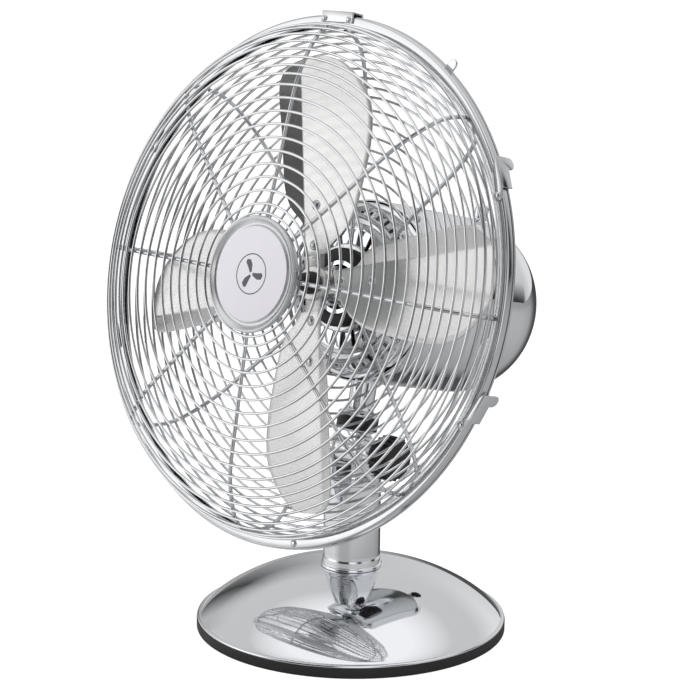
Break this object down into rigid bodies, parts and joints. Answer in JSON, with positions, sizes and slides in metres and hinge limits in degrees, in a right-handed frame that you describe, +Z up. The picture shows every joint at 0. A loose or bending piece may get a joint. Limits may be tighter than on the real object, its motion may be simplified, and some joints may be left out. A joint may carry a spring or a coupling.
{
  "type": "desk fan",
  "caption": "Desk fan with a domed round base, tilting neck, swinging head, turning blades and round wire guards held by clips.",
  "frame": {"origin": "on the floor, at the centre of the round base's underside", "axes": "+Z up along the stand, -Y towards the front of the fan, +X to the fan's side with the tilt knob"},
  "size_m": [0.351, 0.2744, 0.4238],
  "materials": {
    "chrome": "polished",
    "rim_chrome": "polished",
    "wire_chrome": "polished",
    "blade_sheet": "satin",
    "steel": "satin",
    "black_plastic": "moulded, matt",
    "black_rubber": "matt",
    "badge_white": "satin",
    "cast_iron": "rough",
    "lamination": "stacked sheet",
    "copper": "enamelled wire",
    "bronze": "sintered",
    "nylon": "moulded",
    "dark_metal": "satin"
  },
  "bodies": {
    "stand": {"base_skirt": "black_rubber", "base_shell": "chrome", "base_weight": "cast_iron", "base_plate": "dark_metal", "base_pad": "black_rubber", "base_screws": "steel", "cord_gland": "black_plastic", "stand_tube": "chrome", "foot_collar": "chrome", "tie_rod": "steel", "tie_nuts": "steel", "hinge_socket": "chrome", "tilt_bolt": "steel"},
    "tilt_knob": {"tilt_knob": "black_plastic"},
    "neck": {"neck_lug": "chrome", "neck_band": "black_plastic", "neck_pin": "steel", "neck_clip": "steel"},
    "head": {"pivot_sleeve": "chrome", "motor_housing": "chrome", "front_cover": "chrome", "front_bracket": "steel", "rear_bracket": "steel", "bracket_bolts": "steel", "stator_core": "lamination", "windings": "copper", "bearings": "bronze", "gearbox_case": "dark_metal", "housing_screws": "steel", "speed_switch": "black_plastic", "guard_nut": "black_plastic", "rear_centre": "wire_chrome", "rear_rim": "rim_chrome", "rear_rings": "wire_chrome", "rear_spokes": "wire_chrome", "front_rim": "rim_chrome", "front_rings": "wire_chrome", "front_spokes": "wire_chrome", "badge_dish": "chrome", "badge_disc": "badge_white", "top_hook": "chrome", "guard_fixings": "steel"},
    "rotor": {"motor_shaft": "steel", "rotor_core": "lamination", "worm": "steel", "blade_spider": "steel", "blade_1": "blade_sheet", "blade_2": "blade_sheet", "blade_3": "blade_sheet", "blade_4": "blade_sheet", "blade_rivets": "steel", "hub_nut": "black_plastic"},
    "oscillation_gear": {"worm_wheel": "nylon"},
    "crank_link": {"crank_link": "steel"},
    "speed_knob": {"speed_knob": "black_plastic"},
    "swing_knob": {"swing_knob": "chrome"},
    "clip_1": {"clip_1": "chrome"},
    "clip_2": {"clip_2": "chrome"},
    "clip_3": {"clip_3": "chrome"},
    "clip_4": {"clip_4": "chrome"}
  },
  "joints": [
    {"name": "tilt", "type": "hinge", "parent": "stand", "child": "neck", "pos_m": [0, 0, 0.126], "axis": [1, 0, 0], "range_deg": [-8, 22]},
    {"name": "knob_turn", "type": "hinge", "parent": "stand", "child": "tilt_knob", "pos_m": [0.032, 0, 0.126], "axis": [1, 0, 0], "range_deg": [-360, 360]},
    {"name": "swing", "type": "hinge", "parent": "neck", "child": "head", "pos_m": [0, 0.01159, 0.17464], "axis": [0, 0.2317, 0.9728], "range_deg": [-40, 40]},
    {"name": "blade_spin", "type": "hinge", "parent": "head", "child": "rotor", "pos_m": [0, -0.04112, 0.24682], "axis": [0, -0.9728, 0.2317], "continuous": true},
    {"name": "gear_turn", "type": "hinge", "parent": "head", "child": "oscillation_gear", "pos_m": [0.0132, 0.08729, 0.21623], "axis": [0, 0.2317, 0.9728], "continuous": true},
    {"name": "link_turn", "type": "hinge", "parent": "oscillation_gear", "child": "crank_link", "pos_m": [0.0132, 0.06963, 0.16801], "axis": [0, 0.2317, 0.9728], "continuous": true},
    {"name": "speed_turn", "type": "hinge", "parent": "head", "child": "speed_knob", "pos_m": [0, 0.1475, 0.16693], "axis": [0, -0.9728, 0.2317], "range_deg": [0, 120]},
    {"name": "swing_pull", "type": "slide", "parent": "head", "child": "swing_knob", "axis": [0, 0.2317, 0.9728], "range_m": [0, 0.008]},
    {"name": "clip_1_turn", "type": "hinge", "parent": "head", "child": "clip_1", "pos_m": [0.15568, -0.04158, 0.32258], "axis": [0, -0.9728, 0.2317], "range_deg": [-60, 0]},
    {"name": "clip_2_turn", "type": "hinge", "parent": "head", "child": "clip_2", "pos_m": [0.15863, -0.07416, 0.18581], "axis": [0, -0.9728, 0.2317], "range_deg": [-60, 0]},
    {"name": "clip_3_turn", "type": "hinge", "parent": "head", "child": "clip_3", "pos_m": [-0.15645, -0.04195, 0.32099], "axis": [0, -0.9728, 0.2317], "range_deg": [0, 60]},
    {"name": "clip_4_turn", "type": "hinge", "parent": "head", "child": "clip_4", "pos_m": [-0.15851, -0.07422, 0.18554], "axis": [0, -0.9728, 0.2317], "range_deg": [0, 60]}
  ],
  "couplings": [
    {"joint": "gear_turn", "follows": "blade_spin", "ratio": -0.05},
    {"joint": "link_turn", "follows": "blade_spin", "ratio": 0.05}
  ]
}
